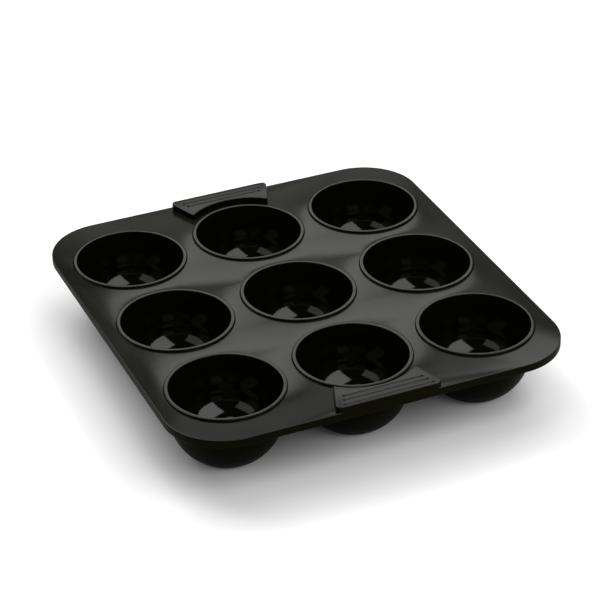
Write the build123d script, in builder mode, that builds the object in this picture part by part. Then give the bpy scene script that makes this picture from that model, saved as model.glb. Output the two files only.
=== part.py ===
from build123d import *
from math import atan2, cos, radians, sin, sqrt, tan
import os

# A silicone muffin mould: a flat tray with nine cups, a grip on its front and back edges and a
# steel wire in its rim. It stands on the flat bases of its cups, with +Z up, the front edge
# towards -Y and the origin on the table under the middle cup. All lengths are in millimetres.

# Cup: a raised lip, a wall that leans in, a round bowl and a flat base
mouth_radius = 27.4
cup_depth = 36.4
cup_wall = 3.0
wall_draft = 9.0
bowl_radius = 25.7
base_radius = 16.0
base_edge_radius = 1.5
inner_bowl_radius = 17.0
base_thickness = 4.6
lip_width = 2.1
lip_height = 1.1
lip_edge_radius = 0.3

# Cup grid, by its names from the front and from the left, and the tray left between and round
# the lips
row_names = ("front", "middle", "back")
column_names = ("left", "centre", "right")
cup_gap = 7.0
side_margin = 6.9
end_margin = 13.7

# Tray: a thin web inside a rim that stands below it
tray_corner_radius = 30.0
web_thickness = 2.6
rim_drop = 1.6
rim_clearance = 1.2
tray_edge_radius = 0.4
rim_inner_edge_radius = 0.6

# Steel wire in the rim, and the holes under it that its moulding pins leave
wire_diameter = 2.0
wire_clearance = 0.05
wire_cover = 0.75
pin_hole_radius = 0.8
pin_spacing = 90.0

# Grip: a pad with an arch round the nearest lip, and a skirt that hooks over the tray's edge
grip_half_width = 28.0
grip_taper = 6.7
grip_height = 3.1
grip_arch_gap = 3.0
grip_corner_radius = 2.6
grip_tip_radius = 0.8
grip_edge_radius = 0.5
skirt_thickness = 1.2

# Grooves along the top of each grip, with a small pit at each end
groove_count = 3
groove_outer_margin = 1.8
groove_inner_margin = 2.1
groove_end_margin = 4.6
groove_width = 0.9
groove_depth = 0.45
pit_radius = 0.8
pit_depth = 0.9

# One overrun for every cut that passes right through
cut_overrun = 1.0

# Heights, worked out from the sizes above
lip_top = cup_depth
tray_top = lip_top - lip_height
web_under = tray_top - web_thickness
rim_under = web_under - rim_drop
rim_thickness = tray_top - rim_under
wire_height = (tray_top + rim_under) / 2
grip_top = tray_top + grip_height

# Cup section, as radius and height, worked out from the sizes above. Outside, the bowl is an arc
# that is tangent to the leaning wall and ends at the base's edge. Inside, it is a smaller arc
# that is tangent to the wall and to the floor.
slope = tan(radians(wall_draft))
wall_across = cup_wall / cos(radians(wall_draft))
lip_outer_radius = mouth_radius + lip_width
shoulder_radius = mouth_radius + wall_across - (lip_top - web_under) * slope
foot_radius = mouth_radius + wall_across - lip_top * slope - bowl_radius / cos(radians(wall_draft))
base_reach = base_radius - foot_radius
bowl_rise = sqrt((1 + slope**2) * bowl_radius**2 - base_reach**2)
bowl_height = (base_reach * slope + bowl_rise) / (1 + slope**2)
bowl_centre_radius = foot_radius + bowl_height * slope
inner_bowl_height = base_thickness + inner_bowl_radius
inner_foot_radius = mouth_radius - lip_top * slope - inner_bowl_radius / cos(radians(wall_draft))
floor_radius = inner_foot_radius + inner_bowl_height * slope

# Plan places, worked out from the sizes above
cup_pitch = 2 * lip_outer_radius + cup_gap
end_cup_x = (len(column_names) - 1) * cup_pitch / 2
end_cup_y = (len(row_names) - 1) * cup_pitch / 2
tray_edge_x = end_cup_x + lip_outer_radius + side_margin
tray_edge_y = end_cup_y + lip_outer_radius + end_margin
rim_width = side_margin + lip_outer_radius - shoulder_radius - rim_clearance
wire_inset = skirt_thickness + wire_cover + wire_clearance + wire_diameter / 2
wire_x = tray_edge_x - wire_inset
wire_y = tray_edge_y - wire_inset
grip_arch_radius = lip_outer_radius + grip_arch_gap
grip_tip_half_width = grip_half_width - grip_taper
grip_tip_reach = sqrt(grip_arch_radius**2 - grip_tip_half_width**2)
grip_depth = tray_edge_y - end_cup_y - grip_tip_reach
grip_corner_angle = atan2(grip_depth, grip_taper)
skirt_half_width = grip_half_width - grip_corner_radius / tan(grip_corner_angle / 2)
groove_span = end_margin - grip_arch_gap - groove_outer_margin - groove_inner_margin

os.makedirs("parts", exist_ok=True)


def finish(builder, name):
    """Label a finished piece and write it to its own file."""
    builder.part.label = name
    export_step(builder.part, f"parts/{name}.step")


def wall_end(centre_radius, centre_height, radius):
    """The point where an arc of the cup's section meets the leaning wall."""
    return (
        centre_radius + radius * cos(radians(wall_draft)),
        centre_height - radius * sin(radians(wall_draft)),
    )


outer_wall_end = wall_end(bowl_centre_radius, bowl_height, bowl_radius)
inner_wall_end = wall_end(floor_radius, inner_bowl_height, inner_bowl_radius)


# Path of the wire: a rounded rectangle that follows the tray's edge
with BuildLine(Plane.XY.offset(wire_height)) as wire_path:
    FilletPolyline(
        (-wire_x, -wire_y),
        (wire_x, -wire_y),
        (wire_x, wire_y),
        (-wire_x, wire_y),
        radius=tray_corner_radius - wire_inset,
        close=True,
    )
wire_start = Plane(origin=wire_path.line @ 0, z_dir=wire_path.line % 0)

# Tray
with BuildPart() as tray_plate:
    with BuildSketch(Plane.XY.offset(rim_under)):
        RectangleRounded(2 * tray_edge_x, 2 * tray_edge_y, tray_corner_radius)
    extrude(amount=rim_thickness)
    fillet(tray_plate.edges().group_by(Axis.Z)[-1], radius=tray_edge_radius)
    fillet(tray_plate.edges().group_by(Axis.Z)[0], radius=tray_edge_radius)

    # Recess under the web, which leaves the rim standing below it
    with BuildSketch(Plane.XY.offset(rim_under)):
        RectangleRounded(
            2 * (tray_edge_x - rim_width),
            2 * (tray_edge_y - rim_width),
            tray_corner_radius - rim_width,
        )
    extrude(amount=rim_drop, mode=Mode.SUBTRACT)
    fillet(tray_plate.edges(Select.LAST).group_by(Axis.Z)[0], radius=rim_inner_edge_radius)

    # One hole for each cup
    with BuildSketch(Plane.XY.offset(web_under - cut_overrun)):
        with GridLocations(cup_pitch, cup_pitch, len(column_names), len(row_names)):
            Circle(lip_outer_radius)
    extrude(amount=web_thickness + 2 * cut_overrun, mode=Mode.SUBTRACT)

    # Notches in the front and back edges for the grips' skirts
    with BuildSketch(Plane.XY.offset(rim_under - cut_overrun)):
        with Locations((0, tray_edge_y), (0, -tray_edge_y)):
            Rectangle(2 * skirt_half_width, 2 * skirt_thickness)
    extrude(amount=rim_thickness + 2 * cut_overrun, mode=Mode.SUBTRACT)

    # Channel for the wire
    with BuildSketch(wire_start):
        Circle(wire_diameter / 2 + wire_clearance)
    sweep(path=wire_path.line, mode=Mode.SUBTRACT)

    # Holes that the moulding pins leave, from the underside up to the wire
    with BuildSketch(Plane.XY.offset(rim_under)):
        with GridLocations(2 * wire_x, pin_spacing, 2, 2):
            Circle(pin_hole_radius)
        with GridLocations(pin_spacing, 2 * wire_y, 2, 2):
            Circle(pin_hole_radius)
    extrude(amount=wire_height - rim_under, mode=Mode.SUBTRACT)
finish(tray_plate, "tray_plate")

# Steel wire in the rim
with BuildPart() as rim_frame:
    with BuildSketch(wire_start):
        Circle(wire_diameter / 2)
    sweep(path=wire_path.line)
finish(rim_frame, "rim_frame")

# Cups, one at each place of the grid
for row, row_name in enumerate(row_names):
    for column, column_name in enumerate(column_names):
        cup_x = column * cup_pitch - end_cup_x
        cup_y = row * cup_pitch - end_cup_y
        section = Plane(origin=(cup_x, cup_y, 0), x_dir=(1, 0, 0), z_dir=(0, -1, 0))
        with BuildPart() as cup:
            with BuildSketch(section) as half:
                with BuildLine():
                    Line((0, 0), (base_radius, 0))
                    RadiusArc((base_radius, 0), outer_wall_end, -bowl_radius)
                    Polyline(
                        outer_wall_end,
                        (shoulder_radius, web_under),
                        (lip_outer_radius, web_under),
                        (lip_outer_radius, lip_top),
                        (mouth_radius, lip_top),
                        inner_wall_end,
                    )
                    RadiusArc(inner_wall_end, (floor_radius, base_thickness), inner_bowl_radius)
                    Polyline((floor_radius, base_thickness), (0, base_thickness), (0, 0))
                make_face()
                fillet(half.vertices().group_by(Axis.Y)[-1], radius=lip_edge_radius)
                base_ends = half.vertices().group_by(Axis.Y)[0]
                fillet(base_ends.sort_by(Axis.X)[-1], radius=base_edge_radius)
            revolve(axis=Axis((cup_x, cup_y, 0), (0, 0, 1)))
        finish(cup, f"cup_{row_name}_{column_name}")

# Grips, one on the front edge and one on the back edge. The last two values say where the outer
# corners and the tips come among the pad's corners when these are put in order along Y.
for grip_name, side, outer_place, tip_place in (("front_grip", -1, 0, -1), ("back_grip", 1, -1, 0)):
    outer_y = side * tray_edge_y
    tip_y = side * (end_cup_y + grip_tip_reach)
    with BuildPart() as grip:
        with BuildSketch(Plane.XY.offset(tray_top)) as pad:
            with BuildLine():
                Polyline(
                    (-grip_tip_half_width, tip_y),
                    (-grip_half_width, outer_y),
                    (grip_half_width, outer_y),
                    (grip_tip_half_width, tip_y),
                )
                ThreePointArc(
                    (grip_tip_half_width, tip_y),
                    (0, side * (end_cup_y + grip_arch_radius)),
                    (-grip_tip_half_width, tip_y),
                )
            make_face()
            fillet(pad.vertices().group_by(Axis.Y)[tip_place], radius=grip_tip_radius)
            fillet(pad.vertices().group_by(Axis.Y)[outer_place], radius=grip_corner_radius)
        extrude(amount=grip_height)
        fillet(grip.faces().sort_by(Axis.Z)[-1].edges(), radius=grip_edge_radius)

        # Skirt over the tray's edge, with its outer face in one plane with the pad's
        with BuildSketch(Plane.XY.offset(rim_under)):
            with Locations((0, side * (tray_edge_y - skirt_thickness / 2))):
                Rectangle(2 * skirt_half_width, skirt_thickness)
        extrude(amount=rim_thickness)
        skirt_foot = grip.edges().group_by(Axis.Z)[0].filter_by(Axis.X)
        fillet(skirt_foot.sort_by(Axis.Y)[outer_place], radius=tray_edge_radius)

        # Grooves and their end pits
        for groove in range(groove_count):
            groove_inset = groove_outer_margin + groove * groove_span / (groove_count - 1)
            groove_y = side * (tray_edge_y - groove_inset)
            pad_half_width = grip_half_width - grip_taper * groove_inset / grip_depth
            groove_half_length = pad_half_width - groove_end_margin
            with BuildSketch(Plane.XY.offset(grip_top)):
                with Locations((0, groove_y)):
                    SlotCenterToCenter(2 * groove_half_length, groove_width)
            extrude(amount=-groove_depth, mode=Mode.SUBTRACT)
            with BuildSketch(Plane.XY.offset(grip_top)):
                with Locations((-groove_half_length, groove_y), (groove_half_length, groove_y)):
                    Circle(pit_radius)
            extrude(amount=-pit_depth, mode=Mode.SUBTRACT)
    finish(grip, grip_name)
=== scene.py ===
import math

import bmesh
import bpy
from bpy.props import FloatProperty, FloatVectorProperty, IntProperty, PointerProperty
from mathutils import Matrix, Vector


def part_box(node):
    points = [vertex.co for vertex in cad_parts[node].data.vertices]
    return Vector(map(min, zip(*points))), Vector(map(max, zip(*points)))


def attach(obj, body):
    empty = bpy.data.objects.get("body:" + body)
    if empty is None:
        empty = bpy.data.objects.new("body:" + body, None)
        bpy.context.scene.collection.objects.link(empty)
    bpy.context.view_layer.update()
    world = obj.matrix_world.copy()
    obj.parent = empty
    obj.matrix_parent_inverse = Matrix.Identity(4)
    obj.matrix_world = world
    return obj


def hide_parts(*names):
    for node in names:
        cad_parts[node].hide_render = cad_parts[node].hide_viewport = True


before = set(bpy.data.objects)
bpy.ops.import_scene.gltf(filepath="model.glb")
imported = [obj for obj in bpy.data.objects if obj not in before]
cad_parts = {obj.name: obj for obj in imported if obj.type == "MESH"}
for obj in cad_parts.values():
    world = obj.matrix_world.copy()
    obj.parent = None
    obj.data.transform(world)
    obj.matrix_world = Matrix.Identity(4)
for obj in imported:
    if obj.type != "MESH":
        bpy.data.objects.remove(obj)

bl_info = {
    "name": "Silicone muffin mould",
    "version": (1, 0, 0),
    "blender": (4, 5, 0),
    "location": "3D View > Sidebar > Mould",
    "description": "Models a silicone muffin mould, its tray, cups and grips, round the frame",
    "category": "Add Mesh",
}

BODY = "root"

# Places taken from the frame, in metres
TRAY_LOW, TRAY_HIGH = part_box("tray_plate")
CUP_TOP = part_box("cup_middle_centre")[1].z
GRIP_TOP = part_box("front_grip")[1].z
WIRE_LOW, WIRE_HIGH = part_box("rim_frame")
ROWS = ("front", "middle", "back")
COLUMNS = ("left", "centre", "right")
CUPS = [f"cup_{row}_{column}" for row in ROWS for column in COLUMNS]

# Points closer than WELD are one point. A place is met within NEAR, or within ROUGH where short
# steps stand for an arc
WELD = 0.000002
NEAR = 0.000004
ROUGH = 0.00005

# Edges sharper than this stay sharp in the shading
SHARP_ANGLE = math.radians(35)

# Steps round each shape that is cut out of a piece
CUTTER_SIDES = 24

# An arc keeps clear of a rounded corner by this many times the reach of the rounding
CLEARANCE = 1.3

# The order of a piece's materials, of which only the cups have the third
POLISHED, DULL, BOWL = range(3)

# A face is dull where its normal points up by less than this share. A lip is dull sooner, from
# the rounding of its outer edge on
DULL_BELOW = 0.5
DULL_BELOW_ON_LIP = 0.9

# Each noise as its scale and detail, and the range that most of its values lie in
RUBBED_PATCHES = (22.0, 3.0)
SILICONE_GRAIN = (1400.0, 2.0)
SILICONE_SWELL = (16.0, 1.0)
STEEL_MARKS = (2600.0, 3.0)
STEEL_PATCHES = (60.0, 2.0)
FLOOR_FIBRE = (300.0, 4.0)
NOISE_RANGE = (0.3, 0.7)

# Each bump as its strength and its height in metres
GRAIN_BUMP = (0.12, 0.0001)
SWELL_BUMP = (0.15, 0.002)
MARKS_BUMP = (0.2, 0.0001)

# Other values of the materials
SILICONE_IOR = 1.43
ROUGHNESS_SWING = 0.02
STEEL_SHADE = 0.75
STEEL_ROUGHNESS = (0.28, 0.42)
FLOOR_ROUGHNESS = (0.85, 0.95)
FLOOR_GLOSS = 0.1

# The room is pale up to the first of these heights and dark above the second. A height is the
# sine of the angle above the horizon
ROOM_FADE = (0.34, 0.50)

# The panel that the top of the tray mirrors hangs behind the mould and looks straight down
PANEL_PLACE = (0.36, 0.89, 0.635)
PANEL_AIM = (0.36, 0.89, 0.0)
PANEL_SIZE = (0.48, 0.48)
PANEL_BRIGHTNESS = 2.0

# Lamps round the mould: degrees round from the back towards the right, degrees up from the floor,
# width and height in metres, and brightness
LAMPS = {
    "softbox_wall": (23, 26, (2.0, 0.85), 0.1),
    "softbox_back": (20, 53, (0.8, 0.45), 1.0),
    "softbox_top": (0, 84, (0.6, 0.6), 2.5),
    "softbox_back_left": (-25, 50, (0.8, 0.7), 5.4),
    "softbox_right": (62, 50, (0.8, 0.7), 2.1),
    "softbox_front_right": (149, 48, (1.0, 1.0), 3.4),
    "softbox_front_left": (-106, 36, (0.87, 0.55), 1.1),
}

# The camera's sensor in millimetres, and the nearest and farthest that it sees in metres
SENSOR_WIDTH = 36.0
CLIP_START, CLIP_END = 0.01, 100.0


def length(name, description, default):
    """A length that a user can change, in metres."""
    return FloatProperty(
        name=name, description=description, default=default, min=0.0, precision=5, unit="LENGTH"
    )


def count(name, description, default):
    """A whole number of steps that a user can change."""
    return IntProperty(name=name, description=description, default=default, min=1)


def share(name, description, default):
    """A number from nought to one that a user can change."""
    return FloatProperty(
        name=name, description=description, default=default, min=0.0, max=1.0, subtype="FACTOR"
    )


def angle(name, description, default):
    """An angle that a user can change."""
    return FloatProperty(name=name, description=description, default=default, subtype="ANGLE")


def light_level(name, description, default):
    """A brightness that a user can change."""
    return FloatProperty(name=name, description=description, default=default, min=0.0)


def colour(name, description, default):
    """A colour that a user can change."""
    return FloatVectorProperty(
        name=name, description=description, default=default, size=3, min=0.0, max=1.0,
        subtype="COLOR",
    )


class MouldTray(bpy.types.PropertyGroup):
    """Sizes of the tray"""

    corner_radius: length("Corner radius", "Radius of the tray's corners in plan", 0.030)
    web_thickness: length("Web thickness", "Thickness of the flat part", 0.0026)
    rim_width: length("Rim width", "Width of the deeper rim, seen from below", 0.00535)
    edge_radius: length("Edge radius", "Rounding of the outer edges", 0.0004)
    recess_radius: length("Recess radius", "Rounding along the recess under the web", 0.0005)
    collar_radius: length("Collar radius", "Hollow rounding from the top up to each lip", 0.00015)
    pin_radius: length("Pin hole radius", "Radius of the holes under the rim", 0.0008)
    pin_spacing: length("Pin spacing", "Distance between two pin holes on one side", 0.090)
    corner_steps: count("Corner steps", "Steps round each corner", 32)
    edge_steps: count("Edge steps", "Steps across each rounded edge", 5)


class MouldCup(bpy.types.PropertyGroup):
    """Sizes of each cup"""

    mouth_radius: length("Mouth radius", "Inside radius at the lip", 0.0274)
    lip_width: length("Lip width", "Width of the raised lip", 0.0021)
    lip_edge_radius: length("Lip edge radius", "Rounding of the lip's inner edge", 0.0003)
    lip_outer_radius: length("Lip outer radius", "Rounding of the lip's outer edge", 0.0006)
    wall: length("Wall", "Thickness of the wall", 0.003)
    draft: angle("Draft", "Lean of the wall", math.radians(9.0))
    bowl_radius: length("Bowl radius", "Radius of the bowl's outside", 0.0257)
    base_radius: length("Base radius", "Radius of the flat base", 0.016)
    inner_bowl_radius: length("Inner bowl radius", "Radius of the bowl's inside", 0.017)
    base_thickness: length("Base thickness", "Thickness of the base", 0.0046)
    base_edge_radius: length("Base edge radius", "Rounding round the base", 0.0015)
    root_radius: length("Root radius", "Hollow rounding where the wall meets the web", 0.0012)
    sides: count("Sides", "Steps round each cup", 128)
    bowl_steps: count("Bowl steps", "Steps down the bowl", 32)
    edge_steps: count("Edge steps", "Steps across each rounded edge", 5)


class MouldGrip(bpy.types.PropertyGroup):
    """Sizes of each grip"""

    half_width: length("Half width", "Half of the width at the tray's edge", 0.028)
    taper: length("Taper", "How far each end leans in", 0.0067)
    arch_gap: length("Arch gap", "Gap between the arch and the nearest lip", 0.003)
    corner_radius: length("Corner radius", "Rounding of the outer corners in plan", 0.0026)
    tip_radius: length("Tip radius", "Rounding of the tips in plan", 0.0008)
    edge_radius: length("Edge radius", "Rounding of the top edges", 0.0005)
    skirt: length("Skirt", "Thickness of the skirt over the tray's edge", 0.0012)
    outer_margin: length("Outer margin", "From the outer face to the first groove", 0.0018)
    inner_margin: length("Inner margin", "From the last groove to the arch", 0.0021)
    end_margin: length("End margin", "From the grip's end to a groove's end", 0.0046)
    groove_radius: length("Groove radius", "Radius of each groove's round bottom", 0.00045)
    pit_radius: length("Pit radius", "Radius of the pit at each end of a groove", 0.0008)
    lift: length("Lift", "Height of the middle of grooves and pits above the top", 0.00005)
    grooves: count("Grooves", "Number of grooves", 3)
    arch_steps: count("Arch steps", "Steps along the arch", 32)
    edge_steps: count("Edge steps", "Steps across each rounded edge", 4)


class MouldFinish(bpy.types.PropertyGroup):
    """Colours and surfaces"""

    silicone: colour("Silicone", "Colour of the silicone", (0.0014, 0.0014, 0.0004))
    silicone_worn: colour("Rubbed silicone", "Colour where it is rubbed", (0.0070, 0.0070, 0.0030))
    gloss: share("Gloss", "How much the tray, the grips and the lips mirror", 0.25)
    tray_roughness: share("Tray roughness", "Roughness of the tray's top", 0.13)
    cup_roughness: share("Cup roughness", "Roughness of the cups' inside", 0.08)
    grip_roughness: share("Grip roughness", "Roughness of the grips' tops", 0.24)
    bowl_gloss: share("Bowl gloss", "How much the cups' bowls mirror", 0.38)
    matt_gloss: share("Matt gloss", "How much the sides and the underside mirror", 0.03)
    matt_tint: colour("Matt tint", "Tint of what the sides mirror", (1.0, 1.0, 0.4))
    matt_roughness: share("Matt roughness", "Roughness of the sides and the underside", 0.45)
    steel: colour("Steel", "Colour of the wire", (0.56, 0.55, 0.53))
    floor: colour("Floor", "Colour of the floor", (0.92, 0.92, 0.92))


class MouldStage(bpy.types.PropertyGroup):
    """Camera, lamps, room and floor"""

    azimuth: angle("Azimuth", "Direction of the camera from the front", math.radians(-22.81))
    elevation: angle("Elevation", "Camera's height above the horizon", math.radians(31.356))
    roll: angle("Roll", "Turn of the camera about its line of sight", math.radians(-1.234))
    distance: length("Distance", "From the camera to the point that it looks at", 1.19287)
    aim: FloatVectorProperty(
        name="Aim", description="Point that the camera looks at", size=3, unit="LENGTH",
        default=(-0.00307, -0.01301, 0.0364), subtype="TRANSLATION",
    )
    lens: FloatProperty(
        name="Lens", description="Focal length in millimetres", default=142.435, unit="CAMERA"
    )
    shift: FloatProperty(
        name="Shift", description="Shift of the picture right and down, in its widths",
        default=0.000826,
    )
    lamp_distance: length("Lamp distance", "How far the lamps stand from the mould", 1.25)
    lamp_aim: length("Lamp aim", "Height of the point that the lamps are turned to", 0.02)
    low_light: light_level("Low light", "Brightness of the room near the floor", 0.4)
    high_light: light_level("High light", "Brightness of the room overhead", 0.04)
    floor_size: length("Floor size", "Side of the floor", 12.0)


def cup_place(node):
    """The middle of a cup in plan, from its box in the frame."""
    low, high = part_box(node)
    return Vector(((low.x + high.x) / 2, (low.y + high.y) / 2, 0))


def lip_reach(cup):
    """The outside radius of a cup's lip."""
    return cup.mouth_radius + cup.lip_width


def direction(turn, rise):
    """A direction so far round from the back towards the right, and so far up."""
    level = math.cos(rise)
    return Vector((math.sin(turn) * level, math.cos(turn) * level, math.sin(rise)))


def arc(centre, radius, start, end, steps):
    """Points of a section along an arc, whose angles run from the outside up."""
    turns = [start + (end - start) * step / steps for step in range(steps + 1)]
    return [
        Vector((centre[0] + radius * math.cos(turn), 0, centre[1] + radius * math.sin(turn)))
        for turn in turns
    ]


def rounded_corner(before, corner, after, radius, steps):
    """Points that round a section's corner between two straight runs."""
    to_before = (before - corner).normalized()
    to_after = (after - corner).normalized()
    half = to_before.angle(to_after) / 2
    reach = radius / math.tan(half)
    middle = corner + (to_before + to_after).normalized() * (radius / math.sin(half))
    first = corner + to_before * reach - middle
    last = corner + to_after * reach - middle
    sweep = first.angle(last)
    side = (last - first * math.cos(sweep)) / math.sin(sweep)
    turns = [sweep * step / steps for step in range(steps + 1)]
    return [middle + first * math.cos(turn) + side * math.sin(turn) for turn in turns]


def corner_reach(radius, before, corner, after):
    """How far the rounding of a corner reaches along its sides."""
    return radius / math.tan((before - corner).angle(after - corner) / 2)


def clear_of_corner(before, points, radius):
    """Points of an arc that the rounding of the corner at its start leaves in place."""
    gap = CLEARANCE * corner_reach(radius, before, points[0], points[1])
    return [point for point in points if (point - points[0]).length > gap]


def grip_arch(grip, cup):
    """The middle and radius of the front grip's arch, and the arch's right tip, in plan."""
    middle = cup_place("cup_front_centre").to_2d()
    radius = lip_reach(cup) + grip.arch_gap
    across = grip.half_width - grip.taper
    return middle, radius, Vector((across, middle.y - math.sqrt(radius**2 - across**2)))


def outer_reach(grip, cup):
    """How far the rounding of the front grip's outer corners reaches."""
    tip = grip_arch(grip, cup)[2]
    corner = Vector((grip.half_width, TRAY_LOW.y))
    return corner_reach(grip.corner_radius, Vector((0, TRAY_LOW.y)), corner, tip)


def tip_reach(grip, cup):
    """How far the rounding of the front grip's tips reaches."""
    middle, _, tip = grip_arch(grip, cup)
    out = tip - middle
    corner = Vector((grip.half_width, TRAY_LOW.y))
    return corner_reach(grip.tip_radius, corner, tip, tip + Vector((out.y, -out.x)))


def pick(piece):
    """Select one object alone, and make it the active one."""
    bpy.ops.object.select_all(action="DESELECT")
    piece.select_set(True)
    bpy.context.view_layer.objects.active = piece


def start_piece(name):
    """Add a plane two metres wide at the origin as the start of a piece, and edit it."""
    bpy.ops.object.select_all(action="DESELECT")
    bpy.ops.mesh.primitive_plane_add(size=2, location=(0, 0, 0))
    piece = bpy.context.active_object
    piece.name = name
    piece.data.name = name
    bpy.ops.object.mode_set(mode="EDIT")
    bpy.ops.mesh.select_mode(type="VERT")
    bpy.ops.mesh.select_all(action="SELECT")
    return piece


def copy_piece(piece, name):
    """A copy of a piece with its own mesh, as the active object."""
    pick(piece)
    bpy.ops.object.duplicate(linked=False)
    copy = bpy.context.active_object
    copy.name = name
    copy.data.name = name
    return copy


def choose(kind, test):
    """Select what passes the test in the mesh being edited, and nothing else."""
    bpy.ops.mesh.select_mode(type=kind)
    bpy.ops.mesh.select_all(action="DESELECT")
    mesh = bpy.context.edit_object.data
    shape = bmesh.from_edit_mesh(mesh)
    items = {"VERT": shape.verts, "EDGE": shape.edges, "FACE": shape.faces}[kind]
    found = [item for item in items if test(item)]
    if not found:
        raise RuntimeError(f"nothing to select in {bpy.context.edit_object.name}")
    for item in found:
        item.select_set(True)
    shape.select_flush_mode()
    bmesh.update_edit_mesh(mesh)


def edge_at(*heights):
    """A test: does the edge lie at one of these heights?"""
    return lambda edge: any(
        all(abs(corner.co.z - height) < NEAR for corner in edge.verts) for height in heights
    )


def face_at(height):
    """A test: is the middle of the face at this height?"""
    return lambda face: abs(face.calc_center_median().z - height) < NEAR


def push(step):
    """Extrude what is selected by one step."""
    bpy.ops.mesh.extrude_region_move(TRANSFORM_OT_translate={"value": tuple(step)})


def bevel(radius, steps, affect="EDGES"):
    """Round what is selected."""
    bpy.ops.mesh.bevel(
        offset_type="OFFSET", offset=radius, segments=steps, profile=0.5, affect=affect
    )


def start_at(point):
    """Shrink the new piece's plane to one point, at a place."""
    bpy.ops.mesh.merge(type="CENTER")
    bpy.ops.transform.translate(value=tuple(point))


def close_up():
    """Merge points that meet, turn all faces outwards and leave edit mode."""
    bpy.ops.mesh.select_all(action="SELECT")
    bpy.ops.mesh.remove_doubles(threshold=WELD)
    bpy.ops.mesh.normals_make_consistent(inside=False)
    bpy.ops.object.mode_set(mode="OBJECT")


def subtract(piece, cutters):
    """Cut shapes out of a piece, and delete them."""
    pick(cutters[0])
    for cutter in cutters:
        cutter.select_set(True)
    bpy.ops.object.join()
    tool = bpy.context.active_object
    pick(piece)
    cut = piece.modifiers.new("cut", "BOOLEAN")
    cut.operation = "DIFFERENCE"
    cut.solver = "EXACT"
    cut.object = tool
    bpy.ops.object.modifier_apply(modifier=cut.name)
    bpy.data.objects.remove(tool)


def end_piece(piece, node, materials, which):
    """Smooth the piece, give each face its material, and fit the piece to the frame."""
    pick(piece)
    bpy.ops.object.shade_smooth_by_angle(angle=SHARP_ANGLE)
    piece.data.materials.clear()
    for material in materials:
        piece.data.materials.append(material)
    for face in piece.data.polygons:
        face.material_index = which(face)
    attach(piece, BODY)
    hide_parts(node)


def top_or_side(face):
    """The material of a face of the tray or of a grip."""
    return DULL if face.normal.z < DULL_BELOW else POLISHED


def add_node(tree, kind, place, **values):
    """Add a shader node, with its place in the editor and its settings."""
    node = tree.nodes.new(kind)
    node.location = place
    for name, value in values.items():
        setattr(node, name, value)
    return node


def new_material(name):
    """A material with a Principled shader alone, with its tree and the shader."""
    material = bpy.data.materials.new(name)
    material.use_nodes = True
    tree = material.node_tree
    tree.nodes.clear()
    output = add_node(tree, "ShaderNodeOutputMaterial", (600, 0))
    shader = add_node(tree, "ShaderNodeBsdfPrincipled", (300, 0))
    tree.links.new(shader.outputs["BSDF"], output.inputs["Surface"])
    return material, tree, shader


def coordinates(tree, kind="Object"):
    """The coordinates that a pattern is laid out by."""
    return add_node(tree, "ShaderNodeTexCoord", (-1200, 0)).outputs[kind]


def noise(tree, vector, place, scale, detail):
    """A noise texture on the given coordinates."""
    node = add_node(tree, "ShaderNodeTexNoise", place)
    node.inputs["Scale"].default_value = scale
    node.inputs["Detail"].default_value = detail
    tree.links.new(vector, node.inputs["Vector"])
    return node.outputs["Fac"]


def spread(tree, value, place, old, new):
    """Map a value from its old range to a new one."""
    node = add_node(tree, "ShaderNodeMapRange", place)
    node.inputs["From Min"].default_value, node.inputs["From Max"].default_value = old
    node.inputs["To Min"].default_value, node.inputs["To Max"].default_value = new
    tree.links.new(value, node.inputs["Value"])
    return node.outputs["Result"]


def blend(tree, factor, place, first, second):
    """Blend two colours by a factor."""
    node = add_node(tree, "ShaderNodeMix", place, data_type="RGBA")
    node.inputs["A"].default_value = (*first, 1.0)
    node.inputs["B"].default_value = (*second, 1.0)
    tree.links.new(factor, node.inputs["Factor"])
    return node.outputs["Result"]


def bump(tree, texture, place, strength, height):
    """A bump node that raises the surface by a texture."""
    node = add_node(tree, "ShaderNodeBump", place)
    node.inputs["Strength"].default_value = strength
    node.inputs["Distance"].default_value = height
    tree.links.new(texture, node.inputs["Height"])
    return node


def silicone(name, finish, roughness, gloss, rubbed, tint=(1.0, 1.0, 1.0)):
    """Black moulded silicone: a fine matt grain, and faint patches where it has been handled."""
    material, tree, shader = new_material(name)
    vector = coordinates(tree)
    patches = noise(tree, vector, (-900, 200), *RUBBED_PATCHES)
    grain = noise(tree, vector, (-900, -100), *SILICONE_GRAIN)
    swell = noise(tree, vector, (-900, -400), *SILICONE_SWELL)

    worn = spread(tree, patches, (-600, 250), NOISE_RANGE, (0.0, rubbed))
    mixed = blend(tree, worn, (-300, 250), finish.silicone, finish.silicone_worn)
    tree.links.new(mixed, shader.inputs["Base Color"])
    limits = (roughness - ROUGHNESS_SWING, roughness + ROUGHNESS_SWING)
    tree.links.new(
        spread(tree, patches, (-600, 0), NOISE_RANGE, limits), shader.inputs["Roughness"]
    )
    shader.inputs["IOR"].default_value = SILICONE_IOR
    shader.inputs["Specular IOR Level"].default_value = gloss
    shader.inputs["Specular Tint"].default_value = (*tint, 1.0)

    fine = bump(tree, grain, (-300, -150), *GRAIN_BUMP)
    broad = bump(tree, swell, (0, -150), *SWELL_BUMP)
    tree.links.new(fine.outputs["Normal"], broad.inputs["Normal"])
    tree.links.new(broad.outputs["Normal"], shader.inputs["Normal"])
    return material


def matt_silicone(finish):
    """The dull silicone of the sides and the underside, made once for all pieces."""
    return bpy.data.materials.get("matt_silicone") or silicone(
        "matt_silicone", finish, finish.matt_roughness, finish.matt_gloss, rubbed=0.2,
        tint=finish.matt_tint,
    )


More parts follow.
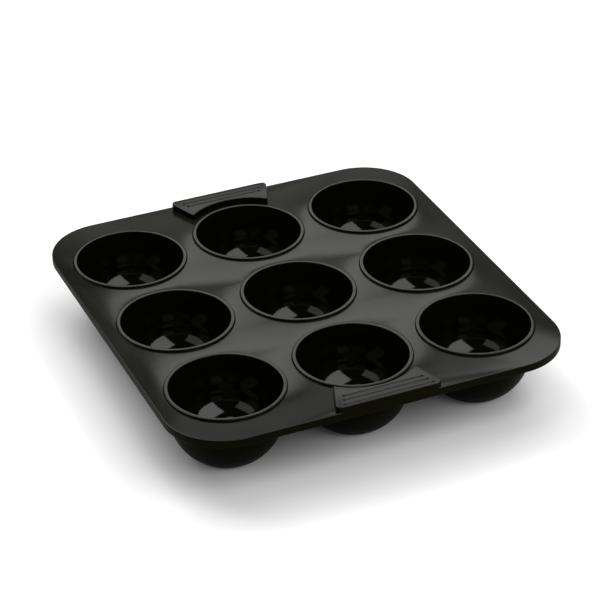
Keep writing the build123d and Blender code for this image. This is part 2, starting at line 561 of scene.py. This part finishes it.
def steel(name, finish):
    """Drawn steel wire, with faint marks and patches."""
    material, tree, shader = new_material(name)
    vector = coordinates(tree)
    marks = noise(tree, vector, (-900, 0), *STEEL_MARKS)
    patches = noise(tree, vector, (-900, 300), *STEEL_PATCHES)
    shade = [part * STEEL_SHADE for part in finish.steel]
    mixed = blend(tree, patches, (-300, 250), finish.steel, shade)
    tree.links.new(mixed, shader.inputs["Base Color"])
    tree.links.new(
        spread(tree, marks, (-600, 0), NOISE_RANGE, STEEL_ROUGHNESS), shader.inputs["Roughness"]
    )
    shader.inputs["Metallic"].default_value = 1.0
    raised = bump(tree, marks, (-300, -150), *MARKS_BUMP)
    tree.links.new(raised.outputs["Normal"], shader.inputs["Normal"])
    return material


def paper(name, finish):
    """The pale paper of the floor."""
    material, tree, shader = new_material(name)
    fibre = noise(tree, coordinates(tree), (-900, 0), *FLOOR_FIBRE)
    tree.links.new(
        spread(tree, fibre, (-600, 0), NOISE_RANGE, FLOOR_ROUGHNESS), shader.inputs["Roughness"]
    )
    shader.inputs["Base Color"].default_value = (*finish.floor, 1.0)
    shader.inputs["Specular IOR Level"].default_value = FLOOR_GLOSS
    return material


class MOULD_OT_tray(bpy.types.Operator):
    """Model the tray: a thin web in a deeper rim, with a hole for each cup"""

    bl_idname = "mould.tray"
    bl_label = "Tray"

    def slab(self, tray):
        """A slab with round corners and edges."""
        low, high = TRAY_LOW.z, TRAY_HIGH.z
        piece = start_piece("tray")
        bpy.ops.transform.resize(value=(TRAY_HIGH.x, TRAY_HIGH.y, 1))
        bpy.ops.transform.translate(value=(0, 0, low))
        bevel(tray.corner_radius, tray.corner_steps, "VERTICES")
        push((0, 0, high - low))
        choose("EDGE", edge_at(low, high))
        bevel(tray.edge_radius, tray.edge_steps)
        return piece

    def recess(self, tray, web):
        """The recess under the web, with its edges rounded."""
        choose("FACE", face_at(TRAY_LOW.z))
        bpy.ops.mesh.inset(thickness=tray.rim_width - tray.edge_radius, use_even_offset=True)
        push((0, 0, web - TRAY_LOW.z))

        def depth(point):
            """How far inside the tray's outline a point lies, in plan."""
            x = abs(point.x) - TRAY_HIGH.x + tray.corner_radius
            y = abs(point.y) - TRAY_HIGH.y + tray.corner_radius
            return tray.corner_radius - math.hypot(max(x, 0), max(y, 0)) - min(max(x, y), 0)

        def along_wall(edge):
            on_wall = [abs(depth(corner.co) - tray.rim_width) < ROUGH for corner in edge.verts]
            return all(on_wall) and edge_at(TRAY_LOW.z, web)(edge)

        choose("EDGE", along_wall)
        bevel(tray.recess_radius, tray.edge_steps)

    def holes(self, tray, cup, web):
        """Holes in the top and in the web, filled round with new faces."""
        high, hole = TRAY_HIGH.z, lip_reach(cup)

        # The top and the web are the only faces with more corners than a rounding has steps
        choose("FACE", lambda face: len(face.verts) > tray.corner_steps)
        bpy.ops.mesh.delete(type="ONLY_FACE")
        for node in CUPS:
            for radius, height in ((hole + tray.collar_radius, high), (hole, web)):
                place = cup_place(node) + Vector((0, 0, height))
                bpy.ops.mesh.select_all(action="DESELECT")
                bpy.ops.mesh.primitive_circle_add(
                    vertices=cup.sides, radius=radius, location=place
                )
        for height in (high, web):
            choose("EDGE", edge_at(height))
            bpy.ops.mesh.fill()

    def collar(self, tray, cup, web, middle):
        """A hollow rounding up to a cup's lip, and the hole's wall down to the web."""
        high = TRAY_HIGH.z
        start = lip_reach(cup) + tray.collar_radius

        def round_hole(edge):
            reaches = [(corner.co - middle).to_2d().length for corner in edge.verts]
            return edge_at(high)(edge) and all(abs(reach - start) < NEAR for reach in reaches)

        choose("EDGE", round_hole)
        reach, height = start, high
        for step in range(1, tray.edge_steps + 1):
            turn = math.pi / 2 * step / tray.edge_steps
            next_reach = start - tray.collar_radius * math.sin(turn)
            next_height = high + tray.collar_radius * (1 - math.cos(turn))
            push((0, 0, next_height - height))
            ratio = next_reach / reach
            bpy.ops.transform.resize(value=(ratio, ratio, 1), center_override=middle)
            reach, height = next_reach, next_height
        push((0, 0, web - height))

    def pins(self, tray):
        """Shapes for the pin holes, from below the rim up to the wire."""
        wire = WIRE_HIGH.z - WIRE_LOW.z
        wire_x = (WIRE_HIGH.x - WIRE_LOW.x - wire) / 2
        wire_y = (WIRE_HIGH.y - WIRE_LOW.y - wire) / 2
        depth = WIRE_LOW.z - TRAY_LOW.z + tray.pin_radius
        half = tray.pin_spacing / 2
        spots = [(x, y) for x in (-wire_x, wire_x) for y in (-half, half)]
        spots += [(x, y) for x in (-half, half) for y in (-wire_y, wire_y)]
        for x, y in spots:
            bpy.ops.mesh.primitive_cylinder_add(
                vertices=CUTTER_SIDES, radius=tray.pin_radius, depth=2 * depth,
                location=(x, y, TRAY_LOW.z),
            )
            yield bpy.context.active_object

    def skirt_room(self, grip, cup):
        """Shapes for the notches that the grips' skirts fill."""
        low, high = TRAY_LOW.z, TRAY_HIGH.z
        half = grip.half_width - outer_reach(grip, cup)
        for y in (TRAY_LOW.y, TRAY_HIGH.y):
            bpy.ops.mesh.primitive_cube_add(size=2, location=(0, y, (low + high) / 2))
            bpy.ops.transform.resize(value=(half, grip.skirt, high - low))
            yield bpy.context.active_object

    def execute(self, context):
        tray = context.scene.mould_tray
        cup = context.scene.mould_cup
        grip = context.scene.mould_grip
        finish = context.scene.mould_finish
        web = TRAY_HIGH.z - tray.web_thickness
        piece = self.slab(tray)
        self.recess(tray, web)
        self.holes(tray, cup, web)
        for node in CUPS:
            self.collar(tray, cup, web, cup_place(node))
        close_up()
        subtract(piece, [*self.pins(tray), *self.skirt_room(grip, cup)])
        materials = (
            silicone("tray_silicone", finish, finish.tray_roughness, finish.gloss, rubbed=1.0),
            matt_silicone(finish),
        )
        end_piece(piece, "tray_plate", materials, top_or_side)
        return {"FINISHED"}


class MOULD_OT_cups(bpy.types.Operator):
    """Model one cup by spinning its section, and copy it to each place"""

    bl_idname = "mould.cups"
    bl_label = "Cups"

    def outer_bowl(self, cup):
        """The bowl's outside, from the base's edge up to where it runs smoothly into the wall."""
        lean, across = math.tan(cup.draft), cup.wall / math.cos(cup.draft)
        foot = cup.mouth_radius + across - CUP_TOP * lean - cup.bowl_radius / math.cos(cup.draft)
        reach = cup.base_radius - foot
        rise = math.sqrt((1 + lean**2) * cup.bowl_radius**2 - reach**2)
        height = (reach * lean + rise) / (1 + lean**2)
        start = math.atan2(-height, reach - height * lean)
        centre = (foot + height * lean, height)
        return arc(centre, cup.bowl_radius, start, -cup.draft, cup.bowl_steps)

    def inner_bowl(self, cup):
        """The bowl's inside, from where it runs smoothly out of the wall down to the floor."""
        lean = math.tan(cup.draft)
        foot = cup.mouth_radius - CUP_TOP * lean - cup.inner_bowl_radius / math.cos(cup.draft)
        height = cup.base_thickness + cup.inner_bowl_radius
        centre = (foot + height * lean, height)
        return arc(centre, cup.inner_bowl_radius, -cup.draft, -math.pi / 2, cup.bowl_steps)

    def section(self, cup, web):
        """The cup's section, from the middle of the base round to the middle of the floor."""
        steps, lean = cup.edge_steps, math.tan(cup.draft)
        across = cup.wall / math.cos(cup.draft)
        middle = Vector((0, 0, 0))
        base = Vector((cup.base_radius, 0, 0))
        root = Vector((cup.mouth_radius + across - (CUP_TOP - web) * lean, 0, web))
        under_web = root + Vector((cup.bowl_radius, 0, 0))
        lip_foot = Vector((lip_reach(cup), 0, web))
        lip_outside = Vector((lip_reach(cup), 0, CUP_TOP))
        lip_inside = Vector((cup.mouth_radius, 0, CUP_TOP))
        outside = clear_of_corner(middle, self.outer_bowl(cup), cup.base_edge_radius)
        inside = self.inner_bowl(cup)

        line = [middle, base / 2]
        line += rounded_corner(middle, base, outside[0], cup.base_edge_radius, steps)
        line += outside
        line += rounded_corner(outside[-1], root, under_web, cup.root_radius, steps)
        line += [lip_foot]
        line += rounded_corner(lip_foot, lip_outside, lip_inside, cup.lip_outer_radius, steps)
        line += rounded_corner(lip_outside, lip_inside, inside[0], cup.lip_edge_radius, steps)
        line += inside
        line += [Vector((reach, 0, cup.base_thickness)) for reach in (inside[-1].x / 2, 0)]
        return line

    def execute(self, context):
        cup = context.scene.mould_cup
        tray = context.scene.mould_tray
        finish = context.scene.mould_finish
        materials = (
            silicone("cup_silicone", finish, finish.cup_roughness, finish.gloss, rubbed=0.0),
            matt_silicone(finish),
            silicone("bowl_silicone", finish, finish.cup_roughness, finish.bowl_gloss, rubbed=0.0),
        )
        first = start_piece("cup_model")
        line = self.section(cup, TRAY_HIGH.z - tray.web_thickness)
        start_at(line[0])
        for here, there in zip(line, line[1:]):
            push(there - here)
        bpy.ops.mesh.select_all(action="SELECT")
        bpy.ops.mesh.spin(
            steps=cup.sides, angle=math.tau, center=(0, 0, 0), axis=(0, 0, 1), dupli=False
        )
        close_up()
        for node in CUPS:
            piece = copy_piece(first, f"muffin_{node}")
            place = cup_place(node)
            bpy.ops.transform.translate(value=place)
            bpy.ops.object.transform_apply(location=True, rotation=False, scale=False)

            def outside_lip_or_bowl(face, place=place):
                """The material of a face of this cup."""
                out = face.center.xy - place.xy
                if face.normal.z < DULL_BELOW_ON_LIP and face.normal.xy.dot(out) > -NEAR:
                    return DULL
                inside = out.length < cup.mouth_radius - cup.lip_edge_radius
                return BOWL if inside else POLISHED

            end_piece(piece, node, materials, outside_lip_or_bowl)
        bpy.data.objects.remove(first)
        return {"FINISHED"}


class MOULD_OT_grips(bpy.types.Operator):
    """Model the front grip, with its arch, skirt, grooves and pits, and turn a copy to the back"""

    bl_idname = "mould.grips"
    bl_label = "Grips"

    def pad(self, grip, cup):
        """The pad, from an outline of a spun arch, its two tips and the two outer corners."""
        middle, _, (across, tip_y) = grip_arch(grip, cup)
        low, outer = TRAY_HIGH.z, TRAY_LOW.y
        piece = start_piece("front_grip_pad")
        start_at((across, tip_y, low))
        sweep = 2 * math.atan2(across, middle.y - tip_y)
        bpy.ops.mesh.spin(
            steps=grip.arch_steps, angle=sweep, center=(0, middle.y, low), axis=(0, 0, 1),
            dupli=False,
        )
        choose("VERT", lambda v: (v.co - Vector((-across, tip_y, low))).length < NEAR)
        push((across - grip.half_width, outer - tip_y, 0))
        push((2 * grip.half_width, 0, 0))
        push((across - grip.half_width, tip_y - outer, 0))
        bpy.ops.mesh.select_all(action="SELECT")
        bpy.ops.mesh.remove_doubles(threshold=WELD)
        bpy.ops.mesh.edge_face_add()

        # The outer corners are rounded more than the tips, in twice as many steps
        choose("VERT", lambda v: abs(v.co.y - outer) < NEAR)
        bevel(outer_reach(grip, cup), grip.edge_steps * 2, "VERTICES")
        choose("VERT", lambda v: abs(abs(v.co.x) - across) < NEAR and abs(v.co.y - tip_y) < NEAR)
        bevel(tip_reach(grip, cup), grip.edge_steps, "VERTICES")

        bpy.ops.mesh.select_all(action="SELECT")
        push((0, 0, GRIP_TOP - low))
        choose("EDGE", edge_at(GRIP_TOP))
        bevel(grip.edge_radius, grip.edge_steps)
        return piece

    def skirt(self, grip, cup, tray):
        """The skirt over the tray's edge, from a strip of the pad's underside."""
        low, under, outer = TRAY_HIGH.z, TRAY_LOW.z, TRAY_LOW.y
        half = grip.half_width - outer_reach(grip, cup)
        inner = outer + grip.skirt
        for place, facing in (
            ((-half, 0, 0), (1, 0, 0)), ((half, 0, 0), (1, 0, 0)), ((0, inner, 0), (0, 1, 0))
        ):
            choose("FACE", face_at(low))
            bpy.ops.mesh.bisect(plane_co=place, plane_no=facing)

        def is_strip(face):
            centre = face.calc_center_median()
            return face_at(low)(face) and abs(centre.x) < half - NEAR and centre.y < inner - NEAR

        def on_outer_face(edge):
            return all(abs(corner.co.y - outer) < NEAR for corner in edge.verts)

        choose("FACE", is_strip)
        push((0, 0, under - low))
        choose("EDGE", lambda edge: edge_at(under)(edge) and on_outer_face(edge))
        bevel(tray.edge_radius, tray.edge_steps)

    def grooves(self, grip, cup):
        """Each groove's place from front to back, and half of its length."""
        middle, radius, (_, tip_y) = grip_arch(grip, cup)
        outer = TRAY_LOW.y
        span = middle.y - radius - outer - grip.outer_margin - grip.inner_margin
        for groove in range(grip.grooves):
            inset = grip.outer_margin + span * groove / max(grip.grooves - 1, 1)
            lean = grip.taper * inset / (tip_y - outer)
            yield outer + inset, grip.half_width - lean - grip.end_margin

    def groove_shapes(self, grip, cup):
        """Shapes for the grooves, which have round bottoms."""
        for y, end in self.grooves(grip, cup):
            bpy.ops.mesh.primitive_cylinder_add(
                vertices=CUTTER_SIDES, radius=grip.groove_radius, depth=2 * end,
                location=(0, y, GRIP_TOP + grip.lift), rotation=(0, math.pi / 2, 0),
            )
            yield bpy.context.active_object

    def pit_shapes(self, grip, cup):
        """Shapes for the pits, one at each end of each groove."""
        for y, end in self.grooves(grip, cup):
            for x in (-end, end):
                bpy.ops.mesh.primitive_uv_sphere_add(
                    segments=CUTTER_SIDES, ring_count=CUTTER_SIDES // 2, radius=grip.pit_radius,
                    location=(x, y, GRIP_TOP + grip.lift),
                )
                yield bpy.context.active_object

    def execute(self, context):
        grip = context.scene.mould_grip
        tray = context.scene.mould_tray
        cup = context.scene.mould_cup
        finish = context.scene.mould_finish
        piece = self.pad(grip, cup)
        self.skirt(grip, cup, tray)
        close_up()
        subtract(piece, list(self.groove_shapes(grip, cup)))
        subtract(piece, list(self.pit_shapes(grip, cup)))
        back = copy_piece(piece, "back_grip_pad")
        back.rotation_euler = (0, 0, math.pi)
        bpy.ops.object.transform_apply(location=False, rotation=True, scale=False)
        materials = (
            silicone("grip_silicone", finish, finish.grip_roughness, finish.gloss, rubbed=1.0),
            matt_silicone(finish),
        )
        end_piece(piece, "front_grip", materials, top_or_side)
        end_piece(back, "back_grip", materials, top_or_side)
        return {"FINISHED"}


class MOULD_OT_wire(bpy.types.Operator):
    """Give the rim's wire its steel"""

    bl_idname = "mould.wire"
    bl_label = "Wire"

    def execute(self, context):
        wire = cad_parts["rim_frame"]
        wire.data.materials.clear()
        wire.data.materials.append(steel("frame_steel", context.scene.mould_finish))
        return {"FINISHED"}


class MOULD_OT_stage(bpy.types.Operator):
    """Set the floor, the room, the lamps and the camera"""

    bl_idname = "mould.stage"
    bl_label = "Stage"

    def lay_floor(self, size, finish):
        """A plain floor of pale paper."""
        bpy.ops.object.select_all(action="DESELECT")
        bpy.ops.mesh.primitive_plane_add(size=size, location=(0, 0, 0))
        floor = bpy.context.active_object
        floor.name = "floor"
        floor.data.materials.append(paper("floor_paper", finish))

    def light_room(self, scene, stage):
        """A plain room that is paler near the floor than overhead."""
        scene.world = bpy.data.worlds.new("studio")
        scene.world.use_nodes = True
        room = scene.world.node_tree
        background = room.nodes["Background"]
        background.inputs["Color"].default_value = (1.0, 1.0, 1.0, 1.0)
        parts = add_node(room, "ShaderNodeSeparateXYZ", (-900, 0))
        room.links.new(coordinates(room, "Generated"), parts.inputs["Vector"])
        light = spread(
            room, parts.outputs["Z"], (-600, 0), ROOM_FADE, (stage.low_light, stage.high_light)
        )
        room.links.new(light, background.inputs["Strength"])

    def softbox(self, name, place, aim, size, brightness):
        """A softbox turned towards a point, with its power worked out from its brightness."""
        width, height = size
        data = bpy.data.lights.new(name, "AREA")
        data.shape = "RECTANGLE"
        data.size, data.size_y = width, height
        data.energy = brightness * math.pi * width * height
        lamp = bpy.data.objects.new(name, data)
        bpy.context.scene.collection.objects.link(lamp)
        lamp.visible_camera = False
        lamp.location = place
        lamp.rotation_euler = (Vector(aim) - Vector(place)).to_track_quat("-Z", "Y").to_euler()

    def set_lamps(self, stage):
        """The panel behind the mould, and the lamps round it."""
        self.softbox("softbox_panel", PANEL_PLACE, PANEL_AIM, PANEL_SIZE, PANEL_BRIGHTNESS)
        aim = Vector((0.0, 0.0, stage.lamp_aim))
        for name, (degrees_round, degrees_up, size, brightness) in LAMPS.items():
            away = direction(math.radians(degrees_round), math.radians(degrees_up))
            self.softbox(name, aim + away * stage.lamp_distance, aim, size, brightness)

    def set_camera(self, scene, stage):
        """The camera, at the photograph's angle."""
        # Its direction counts from the front, and the lamps' from the back
        back = direction(stage.azimuth, stage.elevation)
        back.y = -back.y

        right = Vector((0, 0, 1)).cross(back).normalized()
        up = back.cross(right)
        turned_right = right * math.cos(stage.roll) + up * math.sin(stage.roll)
        turned_up = up * math.cos(stage.roll) - right * math.sin(stage.roll)
        data = bpy.data.cameras.new("camera")
        data.lens = stage.lens
        data.sensor_width = SENSOR_WIDTH
        data.shift_x, data.shift_y = -stage.shift, stage.shift
        data.clip_start, data.clip_end = CLIP_START, CLIP_END
        camera = bpy.data.objects.new("camera", data)
        scene.collection.objects.link(camera)
        place = Vector(stage.aim) + back * stage.distance
        turn = Matrix((turned_right, turned_up, back)).transposed().to_4x4()
        camera.matrix_world = Matrix.Translation(place) @ turn
        scene.camera = camera

    def execute(self, context):
        scene = context.scene
        stage = scene.mould_stage
        self.lay_floor(stage.floor_size, scene.mould_finish)
        self.light_room(scene, stage)
        self.set_lamps(stage)
        self.set_camera(scene, stage)
        scene.view_settings.view_transform = "Standard"
        return {"FINISHED"}


class MOULD_PT_panel(bpy.types.Panel):
    """The mould's sizes and its operators"""

    bl_label = "Muffin mould"
    bl_idname = "MOULD_PT_panel"
    bl_space_type = "VIEW_3D"
    bl_region_type = "UI"
    bl_category = "Mould"

    def draw(self, context):
        for operator, group in STEPS.items():
            box = self.layout.box()
            box.operator(operator)
            settings = getattr(context.scene, group)
            for name in settings.__annotations__:
                box.prop(settings, name)


# Each operator, with the settings that stand under it in the panel
STEPS = {
    "mould.tray": "mould_tray",
    "mould.cups": "mould_cup",
    "mould.grips": "mould_grip",
    "mould.wire": "mould_finish",
    "mould.stage": "mould_stage",
}
GROUPS = {
    "mould_tray": MouldTray,
    "mould_cup": MouldCup,
    "mould_grip": MouldGrip,
    "mould_finish": MouldFinish,
    "mould_stage": MouldStage,
}
CLASSES = (
    *GROUPS.values(), MOULD_OT_tray, MOULD_OT_cups, MOULD_OT_grips, MOULD_OT_wire,
    MOULD_OT_stage, MOULD_PT_panel,
)


def register():
    """Register the classes and hang the settings on the scene."""
    for item in CLASSES:
        bpy.utils.register_class(item)
    for name, group in GROUPS.items():
        setattr(bpy.types.Scene, name, PointerProperty(type=group))


def unregister():
    """Take the settings off the scene and unregister the classes."""
    for name in GROUPS:
        delattr(bpy.types.Scene, name)
    for item in reversed(CLASSES):
        bpy.utils.unregister_class(item)


def main():
    """Build the mould and its stage."""
    register()
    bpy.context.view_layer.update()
    bpy.ops.mould.tray()
    bpy.ops.mould.cups()
    bpy.ops.mould.grips()
    bpy.ops.mould.wire()
    bpy.ops.mould.stage()


if __name__ == "__main__":
    main()
